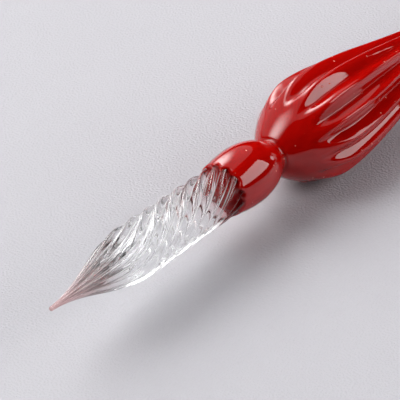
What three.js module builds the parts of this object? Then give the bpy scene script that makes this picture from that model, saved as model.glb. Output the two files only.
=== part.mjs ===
// Glass dip pen: a clear, twisted and fluted nib, a red bulb, a short neck, a fluted teardrop grip,
// a slim fluted stem and a ball at its end. Millimetres, +Z up, nib towards -X.
import * as THREE from 'three';

// Nib: a clear fluted rod that was twisted while hot and drawn out to a point.
const NIB_LENGTH = 33.6;
const NIB_TIP_DIAMETER = 0.6;
const NIB_FAT_DIAMETER = 7.3;
const NIB_FAT_PLACE = 16.5;
const NIB_ROOT_DIAMETER = 7;
const NIB_FLUTES = 12;
const NIB_FLUTE_DEPTH_SHARE = 0.18;
const NIB_LOBE_POWER = 1.2;
const NIB_TWIST_LEAD = 34.5;
const NIB_TWIST_START = 14.5;
const NIB_TWIST_EASE = 4;

// Bulb: an egg of red glass, cut flat where the nib and the neck are fused on. The lengths are those
// of the whole egg in front of its widest ring and behind it.
const BULB_DIAMETER = 8.16;
const BULB_FRONT_LENGTH = 9.2;
const BULB_REAR_LENGTH = 6.9;
const BULB_FRONT_CUT = 4;
const BULB_REAR_CUT = 5.3;

// Neck: the narrow waist, which flares into both neighbours.
const NECK_LENGTH = 0.6;
const NECK_DIAMETER = 4.6;

// Grip: a teardrop with pressed grooves.
const GRIP_DIAMETER = 14.6;
const GRIP_RISE = 10;
const GRIP_FALL = 43.5;
const GRIP_RISE_POWER = 0.82;
const GRIP_FALL_POWER = 3.3;
const GRIP_FLUTES = 13;
const GRIP_FLUTE_DEPTH = 1.05;
const GRIP_FLUTE_EDGE = 0.93;
const GRIP_GROOVE_START = 2.8;
const GRIP_GROOVE_RAMP = 3.2;
const GRIP_GROOVE_BOW = 1.6;
const GRIP_TOP_LEAN = THREE.MathUtils.degToRad(-4.6);
const GRIP_SIDE_LEAN = THREE.MathUtils.degToRad(7);
const GRIP_SIDE_PLACE = THREE.MathUtils.degToRad(-105);
const GRIP_TWIST_PER_MM = THREE.MathUtils.degToRad(0.55);
const GRIP_TWIST_START = 13;
const GRIP_TWIST_EASE = 6;

// Stem and ball.
const STEM_LENGTH = 69;
const STEM_DIAMETER = 5.8;
const STEM_END_DIAMETER = 5;
const BALL_DIAMETER = 6.8;

// Fused faces stay this far apart as separate solids.
const WELD_GAP = 0.3;

// Mesh fineness: rings along each piece and points around it.
const NIB_ROWS = 38;
const NIB_POINTS_PER_FLUTE = 5;
const BULB_ROWS = 16;
const NECK_ROWS = 6;
const GRIP_ROWS = 36;
const GRIP_POINTS_PER_FLUTE = 5;
const STEM_ROWS = 24;
const STEM_POINTS_PER_FLUTE = 3;
const BALL_ROWS = 12;
const PLAIN_POINTS = 32;

// Stations along the pen, from the writing point.
const bulbCentre = NIB_LENGTH + WELD_GAP + BULB_FRONT_CUT;
const neckStart = bulbCentre + BULB_REAR_CUT + WELD_GAP;
const gripStart = neckStart + NECK_LENGTH + WELD_GAP;
const gripWidest = gripStart + GRIP_RISE;
const gripEnd = gripWidest + GRIP_FALL;
const stemStart = gripEnd + WELD_GAP;
const stemEnd = stemStart + STEM_LENGTH;

const quarterSine = (share) => Math.sin((Math.PI / 2) * THREE.MathUtils.clamp(share, 0, 1));

// A twist that is nothing before start and grows evenly after it, with a soft change between.
function softWind(x, start, ease) {
  return (ease / 2) * Math.log1p(Math.exp((2 * (x - start)) / ease));
}

// Round lobes with narrow valleys between them: 0 on a lobe's top, 1 in a valley.
function lobedValley(angle, flutes) {
  return 1 - Math.abs(Math.cos((flutes * angle) / 2)) ** NIB_LOBE_POWER;
}

// A zigzag with rounded corners, 0 on a ridge and 1 in a groove: the arcsine of a cosine that stops
// a little short of 1.
function pressedGroove(angle, flutes) {
  const wave = Math.asin(GRIP_FLUTE_EDGE * Math.cos(flutes * angle)) / Math.asin(GRIP_FLUTE_EDGE);
  return (1 - wave) / 2;
}

// Pressed by hand, the grip's ridges are not quite even: those on top lean one way, and those on one
// side are crowded together.
function handWarp(angle) {
  const top = (1 + Math.cos(angle)) / 2;
  const side = (1 + Math.cos(angle - GRIP_SIDE_PLACE)) / 2;
  return GRIP_TOP_LEAN * top + GRIP_SIDE_LEAN * side ** 3;
}

// The grip has an odd number of ridges: half a pitch puts two of them side by side underneath.
const gripPhase = Math.PI - Math.PI / GRIP_FLUTES;

function nibRadius(x) {
  const tip = NIB_TIP_DIAMETER / 2;
  const fat = NIB_FAT_DIAMETER / 2;
  const root = NIB_ROOT_DIAMETER / 2;
  if (x < NIB_FAT_PLACE) {
    return tip + (fat - tip) * quarterSine(x / NIB_FAT_PLACE) ** 2;
  }
  const behind = (x - NIB_FAT_PLACE) / (NIB_LENGTH - NIB_FAT_PLACE);
  return fat - (fat - root) * quarterSine(behind) ** 2;
}

function bulbRadius(x) {
  const share = (x - bulbCentre) / (x < bulbCentre ? BULB_FRONT_LENGTH : BULB_REAR_LENGTH);
  return (BULB_DIAMETER / 2) * Math.sqrt(1 - share * share);
}

// The neck's flare matches the bulb's cut face in front and the grip's first ring behind.
function neckRadius(x) {
  const share = (x - neckStart) / NECK_LENGTH;
  const front = bulbRadius(bulbCentre + BULB_REAR_CUT);
  const waist = NECK_DIAMETER / 2;
  const back = gripRadius(gripStart);
  const edge = share < 0.5 ? front : back;
  return waist + (edge - waist) * (2 * share - 1) ** 2;
}

// A quarter sine up to the widest ring, then a teardrop's long fall to the stem.
function gripRadius(x) {
  const waist = NECK_DIAMETER / 2;
  const widest = GRIP_DIAMETER / 2;
  const stem = STEM_DIAMETER / 2;
  if (x < gripWidest) {
    const firstShare = WELD_GAP / GRIP_RISE;
    const share = firstShare + ((1 - firstShare) * (x - gripStart)) / GRIP_RISE;
    return waist + (widest - waist) * quarterSine(share) ** GRIP_RISE_POWER;
  }
  const fall = THREE.MathUtils.clamp((x - gripWidest) / GRIP_FALL, 0, 1);
  return stem + (widest - stem) * (1 - fall) ** GRIP_FALL_POWER * (1 + GRIP_FALL_POWER * fall);
}

// One ring of a piece: where the point at this station and angle lies around the pen's axis.
function nibPoint(x, angle) {
  const rate = (2 * Math.PI) / NIB_TWIST_LEAD;
  const turned = angle + rate * softWind(x, NIB_TWIST_START, NIB_TWIST_EASE);
  const radius = nibRadius(x) * (1 - NIB_FLUTE_DEPTH_SHARE * lobedValley(angle, NIB_FLUTES));
  return { radius, turned };
}

// The stem goes on from the grip and thins evenly towards the ball.
function stemRadius(x) {
  const share = (x - stemStart) / STEM_LENGTH;
  return THREE.MathUtils.lerp(STEM_DIAMETER / 2, STEM_END_DIAMETER / 2, share);
}

function gripPoint(x, angle) {
  const groove = pressedGroove(angle, GRIP_FLUTES);
  const bow = GRIP_GROOVE_BOW * (1 - groove) ** 2;
  const ramp = (x - gripStart - GRIP_GROOVE_START - bow) / GRIP_GROOVE_RAMP;
  const outer = x < stemStart ? gripRadius(x) : stemRadius(x);
  const depth = GRIP_FLUTE_DEPTH * (outer / (GRIP_DIAMETER / 2)) * quarterSine(ramp) ** 2;
  const twist = GRIP_TWIST_PER_MM * softWind(x, gripStart + GRIP_TWIST_START, GRIP_TWIST_EASE);
  const placed = angle + gripPhase;
  return { radius: outer - depth * groove, turned: placed + handWarp(placed) + twist };
}

function plainPoint(radiusAt) {
  return (x, angle) => ({ radius: radiusAt(x), turned: angle });
}

// A closed skin over rings from first to last, with a flat fan on each end. Angle 0 is up, and
// a positive angle turns towards +Y.
function ringSolid(first, last, rows, points, pointAt) {
  const positions = [first, 0, 0, last, 0, 0];
  for (let row = 0; row <= rows; row += 1) {
    const x = first + ((last - first) * row) / rows;
    for (let step = 0; step < points; step += 1) {
      const { radius, turned } = pointAt(x, (2 * Math.PI * step) / points);
      positions.push(x, radius * Math.sin(turned), radius * Math.cos(turned));
    }
  }
  const at = (row, step) => 2 + row * points + (step % points);
  const faces = [];
  for (let step = 0; step < points; step += 1) {
    faces.push(0, at(0, step), at(0, step + 1));
    faces.push(1, at(rows, step + 1), at(rows, step));
    for (let row = 0; row < rows; row += 1) {
      faces.push(at(row, step), at(row + 1, step), at(row + 1, step + 1));
      faces.push(at(row, step), at(row + 1, step + 1), at(row, step + 1));
    }
  }
  const geometry = new THREE.BufferGeometry();
  geometry.setAttribute('position', new THREE.Float32BufferAttribute(positions, 3));
  geometry.setIndex(faces);
  geometry.computeVertexNormals();
  return geometry;
}

function makeBall() {
  const radius = BALL_DIAMETER / 2;
  const flat = Math.asin(STEM_END_DIAMETER / BALL_DIAMETER);
  const profile = [new THREE.Vector2(0, -radius * Math.cos(flat))];
  for (let row = 0; row <= BALL_ROWS; row += 1) {
    const polar = flat + ((Math.PI - flat) * row) / BALL_ROWS;
    const ring = row === BALL_ROWS ? 0 : radius * Math.sin(polar);
    profile.push(new THREE.Vector2(ring, -radius * Math.cos(polar)));
  }
  const geometry = new THREE.LatheGeometry(profile, PLAIN_POINTS);
  geometry.rotateZ(-Math.PI / 2);
  geometry.translate(stemEnd + WELD_GAP + radius * Math.cos(flat), 0, 0);
  return geometry;
}

const clearGlass = () => new THREE.MeshStandardMaterial({
  color: 0xe6e6ea, roughness: 0.03, metalness: 0, transparent: true, opacity: 0.35,
});
const redGlass = () => new THREE.MeshStandardMaterial({ color: 0xa80505, roughness: 0.08, metalness: 0 });

function named(name, geometry, material) {
  const mesh = new THREE.Mesh(geometry, material);
  mesh.name = name;
  return mesh;
}

const nib = named(
  'nib',
  ringSolid(0, NIB_LENGTH, NIB_ROWS, NIB_FLUTES * NIB_POINTS_PER_FLUTE, nibPoint),
  clearGlass(),
);
const bulb = named(
  'bulb',
  ringSolid(
    bulbCentre - BULB_FRONT_CUT, bulbCentre + BULB_REAR_CUT, BULB_ROWS, PLAIN_POINTS, plainPoint(bulbRadius),
  ),
  redGlass(),
);
const neck = named(
  'neck',
  ringSolid(neckStart, neckStart + NECK_LENGTH, NECK_ROWS, PLAIN_POINTS, plainPoint(neckRadius)),
  redGlass(),
);
const grip = named(
  'grip',
  ringSolid(gripStart, gripEnd, GRIP_ROWS, GRIP_FLUTES * GRIP_POINTS_PER_FLUTE, gripPoint),
  redGlass(),
);
const stem = named(
  'stem',
  ringSolid(stemStart, stemEnd, STEM_ROWS, GRIP_FLUTES * STEM_POINTS_PER_FLUTE, gripPoint),
  redGlass(),
);
const ball = named('ball', makeBall(), redGlass());

// Lowest point of a piece when the pen is turned nib-up by this tilt about +Y.
function lowest(mesh, tilt) {
  const turned = mesh.geometry.clone().rotateY(tilt);
  turned.computeBoundingBox();
  return turned.boundingBox.min.z;
}

// Laid on a table the pen touches it with the grip and the ball. Tilting nib-up lowers the ball, so
// halving the interval finds the tilt where both touch.
function restingTilt() {
  let low = 0;
  let high = THREE.MathUtils.degToRad(20);
  for (let pass = 0; pass < 40; pass += 1) {
    const middle = (low + high) / 2;
    if (lowest(ball, middle) > lowest(grip, middle)) {
      low = middle;
    } else {
      high = middle;
    }
  }
  return (low + high) / 2;
}

const pen = new THREE.Group();
pen.add(nib, bulb, neck, grip, stem, ball);
pen.rotation.y = restingTilt();
pen.updateMatrixWorld(true);
const box = new THREE.Box3().setFromObject(pen, true);
pen.position.set(-(box.min.x + box.max.x) / 2, -(box.min.y + box.max.y) / 2, -box.min.z);

const dipPen = new THREE.Group();
dipPen.add(pen);

export default dipPen;
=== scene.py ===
import math
import bpy
import numpy as np
from mathutils import Matrix, Vector


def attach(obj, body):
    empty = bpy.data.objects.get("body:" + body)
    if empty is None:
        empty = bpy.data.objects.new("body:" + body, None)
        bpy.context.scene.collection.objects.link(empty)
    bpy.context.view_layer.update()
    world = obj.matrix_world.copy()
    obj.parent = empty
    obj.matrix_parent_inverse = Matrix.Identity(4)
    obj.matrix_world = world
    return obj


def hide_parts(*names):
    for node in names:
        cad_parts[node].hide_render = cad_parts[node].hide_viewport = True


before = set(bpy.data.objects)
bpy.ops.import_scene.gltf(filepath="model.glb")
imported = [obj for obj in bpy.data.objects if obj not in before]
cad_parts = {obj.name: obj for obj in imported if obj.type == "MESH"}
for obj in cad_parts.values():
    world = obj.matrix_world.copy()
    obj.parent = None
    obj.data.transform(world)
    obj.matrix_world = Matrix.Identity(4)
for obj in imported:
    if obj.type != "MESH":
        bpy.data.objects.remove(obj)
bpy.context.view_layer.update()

mm = 0.001
bpy.context.scene.view_settings.view_transform = "Standard"


def hexToLinear(code, alpha=1.0):
    # sRGB hex to linear: the low end is a straight line, the rest a power of 2.4
    srgb = np.array([int(code[i:i + 2], 16) for i in (1, 3, 5)]) / 255
    linear = np.where(srgb <= 0.04045, srgb / 12.92, ((srgb + 0.055) / 1.055) ** 2.4)
    return (*linear.tolist(), alpha)


# The pen's own axis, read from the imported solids. Each solid is even all round, so the
# mean of its points lies on the axis.

def nodePoints(name):
    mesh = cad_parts[name].data
    points = np.zeros(len(mesh.vertices) * 3, np.float32)
    mesh.vertices.foreach_get("co", points)
    return points.reshape(-1, 3).astype(float)


nibMiddle = nodePoints("nib").mean(0)
ballMiddle = nodePoints("ball").mean(0)
along = (ballMiddle - nibMiddle) / np.linalg.norm(ballMiddle - nibMiddle)
across = np.array([0.0, 1.0, 0.0])
upward = np.cross(along, across)
penTip = nibMiddle + along * ((nodePoints("nib") - nibMiddle) @ along).min()


def stations(name):
    # where a solid starts and ends, in mm along the pen from the writing point
    run = (nodePoints(name) - penTip) @ along / mm
    return run.min(), run.max()


def toRow(x, radius, angle):
    # a point x mm along the pen, this far from its axis, turned from straight up towards +Y
    return (penTip + (x * mm)[..., None] * along
            + (radius * np.sin(angle) * mm)[..., None] * across
            + (radius * np.cos(angle) * mm)[..., None] * upward)


nibEnd = stations("nib")[1]
bulbStart, bulbEnd = stations("bulb")
neckStart, neckEnd = stations("neck")
gripStart, gripEnd = stations("grip")
stemStart, stemEnd = stations("stem")
ballEnd = stations("ball")[1]
ends = (nibEnd, bulbEnd, neckEnd, gripEnd, stemEnd, ballEnd)
print("stations along the pen", [round(float(end), 2) for end in ends])
weldGap = gripStart - neckEnd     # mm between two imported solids, closed by the glass skins
weldLap = 0.15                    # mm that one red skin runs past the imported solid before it
eggCut = 4.0                      # mm from the weld back to the bulb's widest ring


# the camera looks down the pen from the side of its writing point
camera = {
    "azimuth": -53.0,                # degrees round the pen, 0 looks along +Y
    "elevation": 34.5,               # degrees above the table
    "distance": 400.0,               # mm from the bulb's middle
    "aimBeside": (-4.64, 3.16, -2.46),   # mm from the bulb's middle to the point it looks at
    "lens": 283.3,                   # mm on a 36 mm sensor, a long lens for small goods
}
bulbPlace = bulbStart + eggCut
bulbMiddle = Vector(penTip + along * bulbPlace * mm)


def directionFrom(azimuth, elevation):
    a, e = math.radians(azimuth), math.radians(elevation)
    return Vector((math.sin(a) * math.cos(e), -math.cos(a) * math.cos(e), math.sin(e)))


def makeCamera(c):
    data = bpy.data.cameras.new("viewCamera")
    data.sensor_width = 36
    data.lens = c["lens"]
    data.clip_start = 0.01
    data.clip_end = 20
    data.dof.use_dof = False
    body = bpy.data.objects.new("viewCamera", data)
    bpy.context.scene.collection.objects.link(body)
    body.location = bulbMiddle + directionFrom(c["azimuth"], c["elevation"]) * c["distance"] * mm
    aim = bulbMiddle + Vector(c["aimBeside"]) * mm
    body.rotation_euler = (aim - body.location).to_track_quat("-Z", "Y").to_euler()
    bpy.context.scene.camera = body


makeCamera(camera)
print("camera made")


# shapes: every piece is a skin carried along the pen, a ring of points at each station

def skin(name, x, radius, angle, frontPole=None, backPole=None):
    # x, radius and angle are grids, rows along the pen and columns round it. Each end is
    # closed by a fan to one point on the axis.
    rows, columns = x.shape
    points = toRow(x, radius, angle)
    front = penTip + (x[0].mean() if frontPole is None else frontPole) * mm * along
    back = penTip + (x[-1].mean() if backPole is None else backPole) * mm * along
    points = np.concatenate([points.reshape(-1, 3), front[None], back[None]])
    i, j = np.meshgrid(np.arange(rows - 1), np.arange(columns), indexing="ij")
    after = (j + 1) % columns
    quads = np.stack([i * columns + j, (i + 1) * columns + j,
                      (i + 1) * columns + after, i * columns + after], -1).reshape(-1, 4)
    j = np.arange(columns)
    after = (j + 1) % columns
    last = (rows - 1) * columns
    frontFan = np.stack([np.full(columns, rows * columns), j, after], -1)
    backFan = np.stack([np.full(columns, rows * columns + 1), last + after, last + j], -1)
    fans = np.concatenate([frontFan, backFan])
    mesh = bpy.data.meshes.new(name)
    mesh.vertices.add(len(points))
    mesh.vertices.foreach_set("co", points.astype(np.float32).ravel())
    mesh.loops.add(quads.size + fans.size)
    mesh.loops.foreach_set("vertex_index", np.concatenate([quads.ravel(), fans.ravel()]))
    mesh.polygons.add(len(quads) + len(fans))
    starts = np.concatenate([np.arange(len(quads)) * 4, quads.size + np.arange(len(fans)) * 3])
    mesh.polygons.foreach_set("loop_start", starts)
    smooth = np.ones(len(quads) + len(fans), bool)
    smooth[len(quads):] = np.repeat([frontPole is not None, backPole is not None], columns)
    mesh.update(calc_edges=True)
    mesh.polygons.foreach_set("use_smooth", smooth)
    # the skin's own map: mm along the pen, and the share of a turn round it before any winding
    quadPlace = np.stack([x[:-1], x[1:], x[1:], x[:-1]], -1).reshape(-1)
    quadTurn = np.broadcast_to((j[:, None] + [0, 0, 1, 1]) / columns, (rows - 1, columns, 4)).reshape(-1)
    frontPlace = np.broadcast_to(x[0][:, None], (columns, 3)).reshape(-1)
    backPlace = np.broadcast_to(x[-1][:, None], (columns, 3)).reshape(-1)
    frontTurn = ((j[:, None] + [0.5, 0, 1]) / columns).reshape(-1)
    backTurn = ((j[:, None] + [0.5, 1, 0]) / columns).reshape(-1)
    flat = np.stack([np.concatenate([quadPlace, frontPlace, backPlace]),
                     np.concatenate([quadTurn, frontTurn, backTurn])], -1)
    mesh.uv_layers.new(name="wound").uv.foreach_set("vector", flat.astype(np.float32).ravel())
    mesh.validate()
    piece = bpy.data.objects.new(name, mesh)
    bpy.context.scene.collection.objects.link(piece)
    return piece


def grid(x, columns, phase=0.0):
    turn = phase + np.arange(columns) * 2 * np.pi / columns
    return np.meshgrid(x, turn, indexing="ij")


def quarterSine(share):
    return np.sin(np.pi / 2 * np.clip(share, 0, 1))


def softWind(x, start, ease):
    # nothing before the start, then one for one, rounded over the ease
    return ease / 2 * np.log1p(np.exp(2 * (x - start) / ease))


nib = {
    "tip": 0.3, "fat": 3.65, "root": 3.5,     # mm, half widths over the flutes' crests
    "fatPlace": 16.5,                         # mm back from the writing point
    "flutes": 12, "depthShare": 0.18,
    "lead": 34.5, "twistStart": 14.5, "twistEase": 4.0,
    "valleyRound": 0.04, "lobePower": 0.6,    # 0 rounding is a sharp crease between two flutes
    "rows": 380, "perFlute": 20,
    "lapBulb": 0.25,                          # mm that the clear glass runs into the red
}


def nibRadius(x, n):
    # a quarter sine squared out to the fattest place, and the same back to the root
    out = n["tip"] + (n["fat"] - n["tip"]) * quarterSine(x / n["fatPlace"]) ** 2
    share = (x - n["fatPlace"]) / (nibEnd - n["fatPlace"])
    back = n["fat"] - (n["fat"] - n["root"]) * quarterSine(share) ** 2
    return np.where(x < n["fatPlace"], out, back)


def makeNib(n):
    x = np.linspace(0, 1, n["rows"])
    x = n["tip"] * 0.9 + x * (bulbStart + n["lapBulb"] - n["tip"] * 0.9)
    x, turn = grid(x, n["flutes"] * n["perFlute"])
    # each flute is a rounded lobe, half a cosine wave wide, and two meet in a narrow valley
    wave = (np.cos(n["flutes"] * turn / 2) ** 2 + n["valleyRound"] ** 2) ** n["lobePower"]
    top = (1 + n["valleyRound"] ** 2) ** n["lobePower"]
    radius = nibRadius(x, n) * (1 - n["depthShare"] * (1 - wave / top))
    wound = turn + 2 * np.pi / n["lead"] * softWind(x, n["twistStart"], n["twistEase"])
    return skin("clearNib", x, radius, wound, frontPole=0.0)


bulb = {
    "half": 4.08, "eggFront": 9.2, "eggBack": 6.9,   # mm
    "noseHalf": 2.9, "noseLength": 3.0,             # the red that runs on inside the clear nib
    "shoulder": 0.2,                                # mm, the rounded edge round the weld
    "ragged": 0.5, "raggedReach": 0.4,              # mm, red tongues that ran along the flutes
    "noseRows": 24, "rows": 130, "columns": 240,
}


def bulbRadius(x, b):
    # an egg: half an ellipse turned about the pen, longer in front of the fattest place
    egg = np.where(x < bulbPlace, b["eggFront"], b["eggBack"])
    return b["half"] * np.sqrt(np.clip(1 - ((x - bulbPlace) / egg) ** 2, 0, 1))


def makeBulb(b):
    # a half ellipse for the nose, a rounded shoulder of a quarter circle, and then the egg
    turn = np.linspace(0.04, np.pi / 2, b["noseRows"])
    noseX = bulbStart - b["noseLength"] * np.cos(turn)
    noseRadius = b["noseHalf"] * np.sin(turn)
    eggX = np.linspace(bulbStart, neckStart, b["rows"])
    inset = np.clip(1 - (eggX - bulbStart) / b["shoulder"], 0, 1)
    eggOutline = bulbRadius(eggX, b) - b["shoulder"] * (1 - np.sqrt(1 - inset ** 2))
    x, turn = grid(np.concatenate([noseX, eggX]), b["columns"])
    radius = np.broadcast_to(np.concatenate([noseRadius, eggOutline])[:, None], x.shape)
    # uneven tongues at the weld, one for each flute, that die out along the egg and the nose
    reach = np.concatenate([(noseRadius / b["noseHalf"]) ** 4,
                            np.exp((bulbStart - eggX) / b["raggedReach"])])
    tongue = (0.5 + 0.5 * np.cos(nib["flutes"] * turn)) * (0.6 + 0.4 * np.sin(5 * turn + 1))
    return skin("redBulb", x - b["ragged"] * reach[:, None] * tongue, radius, turn,
                frontPole=bulbStart - b["noseLength"])


grip = {
    "waist": 2.45, "widest": 7.3, "stem": 2.9,   # mm, half widths
    "rise": 10.0, "fall": 43.5, "risePower": 0.82, "fallPower": 3.3,
    "flutes": 13, "depth": 1.12, "depthPower": 1.2, "softZigzag": 0.75, "zigzag": 0.88, "crispRamps": 2.5,
    "grooveStart": 2.4, "grooveRamp": 5.0, "grooveBow": 1.6,
    "topLean": math.radians(-4.6), "sideLean": math.radians(7.0), "sideAngle": math.radians(-105),
    "twistPerMm": math.radians(0.55), "twistStart": 13.0, "twistEase": 6.0,
    "rows": 260, "perFlute": 28,
}
gripWidest = gripStart + grip["rise"]


def gripRadius(x, g):
    begun = weldGap / g["rise"]     # the share of the rise that is passed where the grip starts
    share = begun + (1 - begun) * (x - gripStart) / g["rise"]
    out = g["waist"] + (g["widest"] - g["waist"]) * quarterSine(share) ** g["risePower"]
    v = np.clip((x - gripWidest) / g["fall"], 0, 1)
    back = g["stem"] + (g["widest"] - g["stem"]) * (1 - v) ** g["fallPower"] * (1 + g["fallPower"] * v)
    return np.where(x < gripWidest, out, back)


def pressedGroove(turn, sharp, g):
    # a zigzag with rounded corners: the arcsine of a cosine that stops short of 1
    return (1 - np.arcsin(sharp * np.cos(g["flutes"] * turn)) / np.arcsin(sharp)) / 2


def handWarp(placed, g):
    # the flutes lean a little near the top, as hand-pressed ones do
    side = (1 + np.cos(placed - g["sideAngle"])) / 2
    return g["topLean"] * (1 + np.cos(placed)) / 2 + g["sideLean"] * side ** 3


def flutedSkin(name, x, g, perFlute, outline):
    x, turn = grid(x, g["flutes"] * perFlute)
    # the ribs begin round and grow crisper where the glass was drawn out
    crisp = quarterSine((x - gripStart - g["grooveStart"]) / (g["crispRamps"] * g["grooveRamp"]))
    groove = pressedGroove(turn, g["softZigzag"] + (g["zigzag"] - g["softZigzag"]) * crisp, g)
    bow = g["grooveBow"] * (1 - groove) ** 2
    ramp = (x - gripStart - g["grooveStart"] - bow) / g["grooveRamp"]
    outer = outline(x)
    depth = g["depth"] * (outer / g["widest"]) ** g["depthPower"] * quarterSine(ramp) ** 2
    placed = turn + np.pi - np.pi / g["flutes"]
    wind = g["twistPerMm"] * softWind(x, gripStart + g["twistStart"], g["twistEase"])
    return skin(name, x, outer - depth * groove, placed + handWarp(placed, g) + wind)


stem = {"end": 2.5, "rows": 150, "perFlute": 12}


def stemRadius(x):
    # an even taper from the grip's end to the ball
    share = np.clip((x - stemStart) / (stemEnd - stemStart), 0, 1)
    return grip["stem"] + (stem["end"] - grip["stem"]) * share


neck = {"waist": 2.3, "rows": 40, "columns": 160}     # mm, half the width of the waist


def makeNeck(n, b, g):
    # two cubic curves, level at the waist, that leave the bulb and the grip at their own slope
    step = 0.01
    middle = (neckStart + neckEnd) / 2
    x = np.linspace(neckStart, neckEnd, n["rows"])

    def half(x, start, radius, slope):
        span = middle - start
        s = (x - start) / span
        return ((2 * s ** 3 - 3 * s ** 2 + 1) * radius + (s ** 3 - 2 * s ** 2 + s) * span * slope
                + (3 * s ** 2 - 2 * s ** 3) * n["waist"])

    bulbSlope = (bulbRadius(neckStart, b) - bulbRadius(neckStart - step, b)) / step
    gripSlope = (gripRadius(neckEnd + step, g) - gripRadius(neckEnd, g)) / step
    radius = np.where(x < middle, half(x, neckStart, bulbRadius(neckStart, b), bulbSlope),
                      half(x, neckEnd, gripRadius(neckEnd, g), gripSlope))
    x, turn = grid(x, n["columns"])
    return skin("redNeck", x, np.broadcast_to(radius[:, None], x.shape), turn)


ball = {"half": 3.4, "rows": 72, "columns": 96}


def makeBall(b):
    # a half circle turned about the pen, from its join with the stem to its far pole
    centre = ballEnd - b["half"]
    start = math.acos(-(stemEnd + weldLap - centre) / b["half"])
    sweep = np.linspace(start, math.pi - 0.02, b["rows"])
    x, turn = grid(centre - b["half"] * np.cos(sweep), b["columns"])
    radius = np.broadcast_to((b["half"] * np.sin(sweep))[:, None], x.shape)
    return skin("redBall", x, radius, turn, backPole=ballEnd)


pieces = {
    "nib": makeNib(nib),
    "bulb": makeBulb(bulb),
    "neck": makeNeck(neck, bulb, grip),
    "grip": flutedSkin("redGrip", np.linspace(neckEnd, gripEnd + weldLap, grip["rows"]), grip,
                       grip["perFlute"], lambda x: gripRadius(x, grip)),
    "stem": flutedSkin("redStem", np.linspace(gripEnd + weldLap, stemEnd + weldLap, stem["rows"]), grip,
                       stem["perFlute"], stemRadius),
    "ball": makeBall(ball),
}
print("six glass pieces made")


def addNode(tree, kind, settings=None, **links):
    # one node with its settings, each link given as input name = output socket or value
    node = tree.nodes.new(kind)
    for key, value in (settings or {}).items():
        setattr(node, key, value)
    for key, value in links.items():
        numbered = key[0] == "i" and key[1:].isdigit()
        socket = node.inputs[int(key[1:]) if numbered else key.replace("_", " ")]
        if isinstance(value, bpy.types.NodeSocket):
            tree.links.new(value, socket)
        else:
            socket.default_value = value
    return node


def newMaterial(name):
    material = bpy.data.materials.new(name)
    material.use_nodes = True
    tree = material.node_tree
    tree.nodes.clear()
    return material, tree


# opaque red soda-lime glass, worked in the flame and left with its fire polish: a deep wet
# gloss over an even body colour, faint streaks drawn out along the pen, a slow ripple that
# bends the reflections a little, and tiny burst bubbles, dented by a bump, each with a painted glint:
# pale pink painted into the body colour
redLook = {
    "dark": "#980503", "light": "#A80804",
    "streakLength": 11.0, "streakWidth": 1.4,     # mm
    "rippleSize": 2.2, "pitSpacing": 1.6,         # mm
    # painted glint: the pale pink put into the colour at each burst bubble
    "pitGlint": "#E08878",
}


def redGlass(name):
    material, tree = newMaterial(name)
    place = addNode(tree, "ShaderNodeTexCoord").outputs["Object"]
    longWay, shortWay = 1 / (redLook["streakLength"] * mm), 1 / (redLook["streakWidth"] * mm)
    drawn = addNode(tree, "ShaderNodeMapping", i0=place, i3=(longWay, shortWay, shortWay)).outputs[0]
    streak = addNode(tree, "ShaderNodeTexNoise", Vector=drawn, Scale=1.0, Detail=3.0).outputs[0]
    ramp = addNode(tree, "ShaderNodeValToRGB", i0=streak)
    ramp.color_ramp.elements[0].color = hexToLinear(redLook["dark"])
    ramp.color_ramp.elements[0].position = 0.3
    ramp.color_ramp.elements[1].color = hexToLinear(redLook["light"])
    ramp.color_ramp.elements[1].position = 0.7
    ripple = addNode(tree, "ShaderNodeTexNoise", Vector=place, Detail=1.0,
                     Scale=1 / (redLook["rippleSize"] * mm)).outputs[0]
    slow = addNode(tree, "ShaderNodeBump", Strength=0.03, Distance=0.0004, Height=ripple).outputs[0]
    cells = addNode(tree, "ShaderNodeTexVoronoi", Vector=place,
                    Scale=1 / (redLook["pitSpacing"] * mm)).outputs["Distance"]
    pitGlint = addNode(tree, "ShaderNodeMapRange", {"interpolation_type": "SMOOTHSTEP"}, Value=cells,
                  From_Min=0.04, From_Max=0.1).outputs[0]
    # painted glint: at each bubble the body colour is mixed towards the pale pink; the bump below dents
    # it
    body = addNode(tree, "ShaderNodeMix", {"data_type": "RGBA"}, i0=pitGlint, i6=hexToLinear(redLook["pitGlint"]),
                   i7=ramp.outputs[0]).outputs[2]
    pits = addNode(tree, "ShaderNodeBump", Strength=0.6, Distance=0.0001, Height=pitGlint,
                   Normal=slow).outputs[0]
    glass = addNode(tree, "ShaderNodeBsdfPrincipled", Base_Color=body, Roughness=0.03,
                    IOR=1.5, Normal=pits, Subsurface_Weight=0.3, Subsurface_Radius=(1.0, 0.1, 0.1),
                    Subsurface_Scale=0.003)
    addNode(tree, "ShaderNodeOutputMaterial", Surface=glass.outputs[0])
    return material


# clear soda-lime glass, pulled and twisted hot: water-clear under a fire polish, with white
# painted in as painted highlights along the valleys between the flutes and finer ones beside them.
# The point is veiled and tinted pale pink, a painted glow standing in for red light carried down
# the nib from the bulb, and the glass next to the weld is tinted red, painted to stand in for the red
# bulb seen through it
clearLook = {
    "clear": "#FEFFFF", "paintedPointGlow": "#F0CFCF", "paintedWeldRed": "#B84848",
    "pointTo": 12.0, "weldFrom": 30.6,                 # mm from the writing point
    # painted highlights: white along the valleys, and finer white lines beside them
    "valleyWidth": 0.06, "valleyHighlightWhite": 0.6,           # shares of a flute, and of full white
    "fineLines": 90.0, "fineStretch": 0.08, "fineHighlightWhite": 0.4,
    "pointGlowVeil": 0.3,
}


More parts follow.
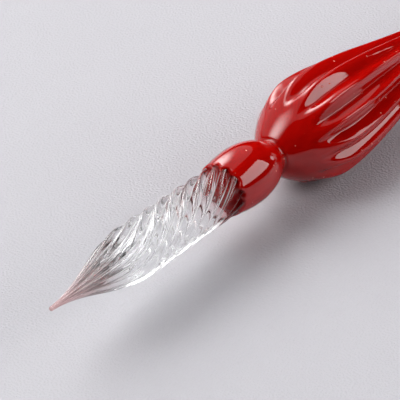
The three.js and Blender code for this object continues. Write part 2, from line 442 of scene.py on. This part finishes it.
def clearGlass(name):
    look = clearLook
    material, tree = newMaterial(name)
    own = addNode(tree, "ShaderNodeUVMap", {"uv_map": "wound"}).outputs[0]
    split = addNode(tree, "ShaderNodeSeparateXYZ", i0=own)
    x, share = split.outputs["X"], split.outputs["Y"]
    # painted glow: towards the point the colour turns pale pink, standing in for red light carried down
    # the nib from the bulb
    point = addNode(tree, "ShaderNodeMapRange", Value=x, From_Min=2.0, From_Max=look["pointTo"],
                    To_Min=1.0, To_Max=0.0).outputs[0]
    # painted red next to the weld, standing in for the red bulb seen through the clear glass
    weld = addNode(tree, "ShaderNodeMapRange", Value=x, From_Min=look["weldFrom"],
                   From_Max=float(nibEnd), To_Min=0.0, To_Max=1.0).outputs[0]
    pale = addNode(tree, "ShaderNodeMix", {"data_type": "RGBA"}, i0=point,
                   i6=hexToLinear(look["clear"]), i7=hexToLinear(look["paintedPointGlow"])).outputs[2]
    tint = addNode(tree, "ShaderNodeMix", {"data_type": "RGBA"}, i0=weld, i6=pale,
                   i7=hexToLinear(look["paintedWeldRed"])).outputs[2]
    # each flute's valley lies half way through its share of the turn
    flute = addNode(tree, "ShaderNodeMath", {"operation": "MULTIPLY"}, i0=share,
                    i1=float(nib["flutes"])).outputs[0]
    part = addNode(tree, "ShaderNodeMath", {"operation": "FRACT"}, i0=flute).outputs[0]
    fromValley = addNode(tree, "ShaderNodeMath", {"operation": "SUBTRACT"}, i0=part, i1=0.5).outputs[0]
    aside = addNode(tree, "ShaderNodeMath", {"operation": "ABSOLUTE"}, i0=fromValley).outputs[0]
    # painted highlights: white painted into the colour along each valley between the flutes
    valley = addNode(tree, "ShaderNodeMapRange", {"interpolation_type": "SMOOTHSTEP"}, Value=aside,
                     From_Min=0.01, From_Max=look["valleyWidth"], To_Min=look["valleyHighlightWhite"],
                     To_Max=0.0).outputs[0]
    # finer painted highlights: white streaks from a noise drawn out along the flutes; the same noise
    # bumps the surface
    drawn = addNode(tree, "ShaderNodeMapping", i0=own,
                    i3=(look["fineStretch"], look["fineLines"], 1.0)).outputs[0]
    fine = addNode(tree, "ShaderNodeTexNoise", Vector=drawn, Scale=1.0, Detail=2.0).outputs[0]
    fineHighlights = addNode(tree, "ShaderNodeMapRange", {"interpolation_type": "SMOOTHSTEP"}, Value=fine,
                    From_Min=0.56, From_Max=0.66, To_Min=0.0, To_Max=look["fineHighlightWhite"]).outputs[0]
    # the point is veiled, less clear, so its painted pink glow shows, and the fine painted highlights are
    # added
    veil = addNode(tree, "ShaderNodeMath", {"operation": "MULTIPLY_ADD"}, i0=point, i1=look["pointGlowVeil"],
                   i2=fineHighlights).outputs[0]
    # the glass is less clear wherever the veil or the painted highlights are
    white = addNode(tree, "ShaderNodeMath", {"operation": "ADD", "use_clamp": True}, i0=veil,
                    i1=valley).outputs[0]
    clear = addNode(tree, "ShaderNodeMath", {"operation": "SUBTRACT"}, i0=1.0, i1=white).outputs[0]
    bump = addNode(tree, "ShaderNodeBump", Strength=0.12, Distance=0.0001, Height=fine).outputs[0]
    glass = addNode(tree, "ShaderNodeBsdfPrincipled", Base_Color=tint, Roughness=0.0,
                    IOR=1.5, Transmission_Weight=clear, Normal=bump)
    addNode(tree, "ShaderNodeOutputMaterial", Surface=glass.outputs[0])
    return material


for node, piece in pieces.items():
    if node == "nib":
        material = clearGlass("clear flame-worked glass")
    else:
        material = redGlass("red flame-worked glass, " + node)
    piece.data.materials.append(material)
    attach(piece, "root")
    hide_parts(node)
print("glass materials made")


# a pale laminate, matt under a fine pressed grain, drawn coarse enough to show
table = {"side": 4.0, "colour": "#B0AFB4", "grainSize": 1 / 3}     # metres, hex, mm


def makeTable(t):
    material, tree = newMaterial("pale laminate")
    place = addNode(tree, "ShaderNodeTexCoord").outputs["Object"]
    grain = addNode(tree, "ShaderNodeTexNoise", Vector=place, Detail=1.0,
                    Scale=1 / (t["grainSize"] * mm)).outputs[0]
    bump = addNode(tree, "ShaderNodeBump", Strength=0.4, Distance=0.0003, Height=grain).outputs[0]
    laminate = addNode(tree, "ShaderNodeBsdfPrincipled", Base_Color=hexToLinear(t["colour"]),
                       Roughness=0.6, Normal=bump)
    addNode(tree, "ShaderNodeOutputMaterial", Surface=laminate.outputs[0])
    half = t["side"] / 2
    mesh = bpy.data.meshes.new("table")
    corners = [(-half, -half, 0), (half, -half, 0), (half, half, 0), (-half, half, 0)]
    mesh.from_pydata(corners, [], [(0, 1, 2, 3)])
    mesh.materials.append(material)
    top = bpy.data.objects.new("table", mesh)
    bpy.context.scene.collection.objects.link(top)


makeTable(table)


def panelLight(name, centre, wide, width, height, radiance, shape="RECTANGLE", hot=None):
    # a flat light that faces the bulb: centre is its place in metres from the bulb's middle,
    # and wide is the way its width runs
    away = Vector(centre).normalized() if hot is None else Vector(hot["facing"]).normalized()
    side = Vector(wide)
    side = (side - away * side.dot(away)).normalized()
    data = bpy.data.lights.new(name, "AREA")
    data.shape = shape
    data.size, data.size_y = width, height
    area = width * height * (math.pi / 4 if shape == "ELLIPSE" else 1)
    data.energy = radiance * area * math.pi
    if hot is not None:
        # brighter towards its middle, as a lamp behind a wide sheet of diffuser is
        data.use_nodes = True
        tree = data.node_tree
        tree.nodes.clear()
        spot = addNode(tree, "ShaderNodeNewGeometry").outputs["Parametric"]
        offset = addNode(tree, "ShaderNodeVectorMath", {"operation": "SUBTRACT"}, i0=spot,
                         i1=hot["spot"]).outputs[0]
        pinched = addNode(tree, "ShaderNodeVectorMath", {"operation": "MULTIPLY"}, i0=offset,
                          i1=hot["pinch"]).outputs[0]
        apart = addNode(tree, "ShaderNodeVectorMath", {"operation": "LENGTH"},
                        i0=pinched).outputs["Value"]
        fall = addNode(tree, "ShaderNodeMapRange", {"interpolation_type": "SMOOTHERSTEP"}, Value=apart,
                       From_Min=0.0, From_Max=hot["reach"], To_Min=hot["peak"],
                       To_Max=hot["edge"]).outputs[0]
        glow = addNode(tree, "ShaderNodeEmission", Strength=fall)
        addNode(tree, "ShaderNodeOutputLight", Surface=glow.outputs[0])
    lamp = bpy.data.objects.new(name, data)
    bpy.context.scene.collection.objects.link(lamp)
    lamp.matrix_world = Matrix((
        (*side, 0), (*away.cross(side), 0), (*away, 0), (0, 0, 0, 1))).transposed()
    lamp.location = bulbMiddle + Vector(centre)
    lamp.visible_camera = False
    return lamp


panelLight("side softbox", Vector((0.625, -0.63, 0.475)) * 0.5, (0.36, 0.3, -0.02), 0.29, 0.28, 4.2)
keyFacing = Vector((0.387, 0.658, 0.646))
keySide = Vector((0.862, -0.507, 0.0))
keyUp = Vector((-0.3275, -0.5569, 0.7634))
diffuserPlace = (keyFacing - 0.45 * keySide + 0.35 * keyUp) * 0.8
panelLight("back diffuser", diffuserPlace, keySide, 1.84, 1.84, 1.0, "ELLIPSE",
           {"facing": keyFacing, "spot": (0.72, 0.665, 0.0), "pinch": (3.4, 1.0, 1.0), "reach": 0.36,
            "peak": 9.5, "edge": 0.6})
mainFacing = Vector((-0.46, 0.50, 0.73))
panelLight("main lamp", mainFacing, (0.73, 0.68, 0.0), 1.15, 1.15, 1.0, "ELLIPSE",
           {"facing": mainFacing, "spot": (0.5, 0.5, 0.0), "pinch": (1.0, 1.0, 1.0), "reach": 0.5,
            "peak": 9.0, "edge": 0.0})
# a weak card on the near side that only lifts the body colour
nearCard = panelLight("near card", Vector((0.3, -0.8, 0.4)) * 0.8, (0.9, 0.35, 0), 0.5, 0.5, 1.3)
nearCard.visible_glossy = False
panelLight("small lamp", Vector((0.946, -0.276, 0.169)) * 0.5, (0.28, 0.95, 0), 0.06, 0.08, 3.0)

# the room: a pale wall beyond the table on one side, and a dim room on the other
room = {"wallSide": (0.79, 0.61, 0.0), "dim": 0.15, "wall": 0.4, "from": 0.0, "to": 0.7}
world = bpy.data.worlds.new("pale studio")
world.use_nodes = True
skyTree = world.node_tree
skyTree.nodes.clear()
way = addNode(skyTree, "ShaderNodeTexCoord").outputs["Generated"]
towards = addNode(skyTree, "ShaderNodeVectorMath", {"operation": "DOT_PRODUCT"}, i0=way,
                  i1=room["wallSide"]).outputs["Value"]
glow = addNode(skyTree, "ShaderNodeMapRange", {"interpolation_type": "SMOOTHSTEP"}, Value=towards,
               From_Min=room["from"], From_Max=room["to"], To_Min=room["dim"],
               To_Max=room["wall"]).outputs[0]
sky = addNode(skyTree, "ShaderNodeBackground", Color=hexToLinear("#EEE6EC"), Strength=glow)
addNode(skyTree, "ShaderNodeOutputWorld", Surface=sky.outputs[0])
bpy.context.scene.world = world
world.cycles_visibility.glossy = False     # the glass mirrors the lamps and the table, not the room
print("table and lights made")
